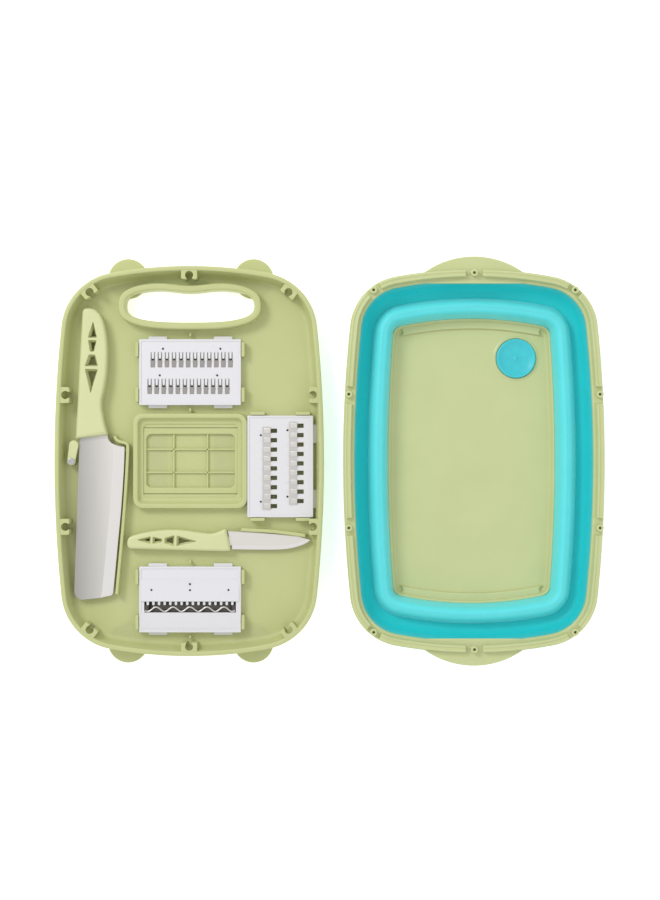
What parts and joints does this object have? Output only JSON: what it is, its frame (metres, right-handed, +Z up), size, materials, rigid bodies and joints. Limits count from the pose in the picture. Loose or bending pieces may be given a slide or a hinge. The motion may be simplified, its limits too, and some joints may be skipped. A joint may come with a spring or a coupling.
{
  "type": "mandoline slicer",
  "caption": "Cutting board with stored knives and slicing cartridges, lying open beside the folding basin it clips onto.",
  "frame": {"origin": "on the table, at the middle of the whole set's plan", "axes": "+X from the board to the basin, +Y towards the board's grip opening, +Z up from the table"},
  "size_m": [0.5402, 0.403, 0.045],
  "materials": {
    "board_green": "fine moulded satin",
    "handle_green": "fine moulded satin",
    "basin_green": "polished moulding",
    "cartridge_white": "satin ABS",
    "blade_steel": "brushed along the blade",
    "tooth_steel": "stamped sheet",
    "bright_steel": "bright",
    "silicone_teal": "satin silicone",
    "plug_teal": "satin silicone"
  },
  "bodies": {
    "basin_base": {"basin_base": "basin_green", "basin_wall_lower": "silicone_teal"},
    "basin_rim": {"basin_rim": "basin_green", "basin_wall_upper": "silicone_teal", "basin_wall_fold": "silicone_teal"},
    "board": {"board_tray": "board_green", "latch_screw": "bright_steel"},
    "latch": {"latch_lever": "board_green"},
    "window_insert": {"window_insert": "board_green"},
    "cleaver": {"cleaver_handle": "handle_green", "cleaver_blade": "blade_steel"},
    "paring_knife": {"paring_handle": "handle_green", "paring_blade": "blade_steel"},
    "fine_grater": {"fine_frame": "cartridge_white", "fine_blades": "tooth_steel", "fine_pins": "bright_steel"},
    "coarse_grater": {"coarse_frame": "cartridge_white", "coarse_blades": "tooth_steel", "coarse_pins": "bright_steel"},
    "crinkle_slicer": {"wavy_frame": "cartridge_white", "wavy_blade": "tooth_steel", "wavy_pins": "bright_steel"},
    "drain_plug": {"drain_plug": "plug_teal"}
  },
  "joints": [
    {"name": "rim_lift", "type": "slide", "parent": "basin_base", "child": "basin_rim", "axis": [0, 0, 1], "range_m": [0, 0.034], "deforming": ["basin_wall_fold"]},
    {"name": "board_close", "type": "hinge", "parent": "basin_base", "child": "board", "pos_m": [0.0026, 0, 0.0315], "axis": [0, -1, 0], "range_deg": [-150, 0]},
    {"name": "latch_swing", "type": "hinge", "parent": "board", "child": "latch", "pos_m": [-0.2548, -0.0005, 0.0141], "axis": [0, 0, 1], "range_deg": [-22, 20]},
    {"name": "insert_push_out", "type": "slide", "parent": "board", "child": "window_insert", "axis": [0, 0, 1], "range_m": [-0.03, 0]},
    {"name": "cleaver_lift", "type": "slide", "parent": "board", "child": "cleaver", "axis": [0, 0, 1], "range_m": [0, 0.05]},
    {"name": "paring_knife_lift", "type": "slide", "parent": "board", "child": "paring_knife", "axis": [0, 0, 1], "range_m": [0, 0.05]},
    {"name": "fine_grater_lift", "type": "slide", "parent": "board", "child": "fine_grater", "axis": [0, 0, 1], "range_m": [0, 0.05]},
    {"name": "coarse_grater_lift", "type": "slide", "parent": "board", "child": "coarse_grater", "axis": [0, 0, 1], "range_m": [0, 0.05]},
    {"name": "crinkle_slicer_lift", "type": "slide", "parent": "board", "child": "crinkle_slicer", "axis": [0, 0, 1], "range_m": [0, 0.05]},
    {"name": "drain_plug_pull", "type": "slide", "parent": "basin_base", "child": "drain_plug", "axis": [0, 0, 1], "range_m": [0, 0.04]}
  ]
}
